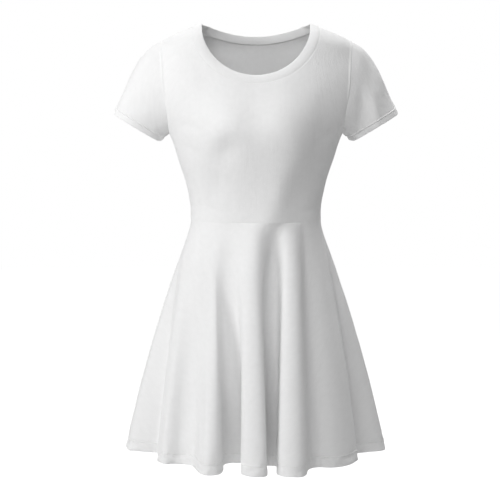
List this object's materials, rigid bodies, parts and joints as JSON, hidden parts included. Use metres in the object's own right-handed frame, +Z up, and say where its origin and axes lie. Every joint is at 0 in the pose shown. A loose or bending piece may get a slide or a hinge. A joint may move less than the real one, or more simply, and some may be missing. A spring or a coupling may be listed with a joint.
{
  "type": "short-sleeved jersey skater dress",
  "caption": "Plain white knit dress with short set-in sleeves, a round banded neck, a waist seam and a flared, fluted skirt, held hollow as it is worn.",
  "frame": {"origin": "midway between the two shoulders, just under the shoulder seams, where the wearer's shoulders carry the dress", "axes": "+Z up, the front faces -Y, the wearer's left is +X"},
  "size_m": [0.5458, 0.4355, 0.828],
  "materials": {
    "white_jersey": "matt fine knit with a faint bloom",
    "white_jersey_band": "matt fine knit, folded double"
  },
  "bodies": {
    "root": {"bodice_front": "white_jersey", "bodice_back": "white_jersey", "skirt_front": "white_jersey", "skirt_back": "white_jersey", "sleeve_left": "white_jersey", "sleeve_right": "white_jersey", "neckband": "white_jersey_band"}
  },
  "joints": []
}
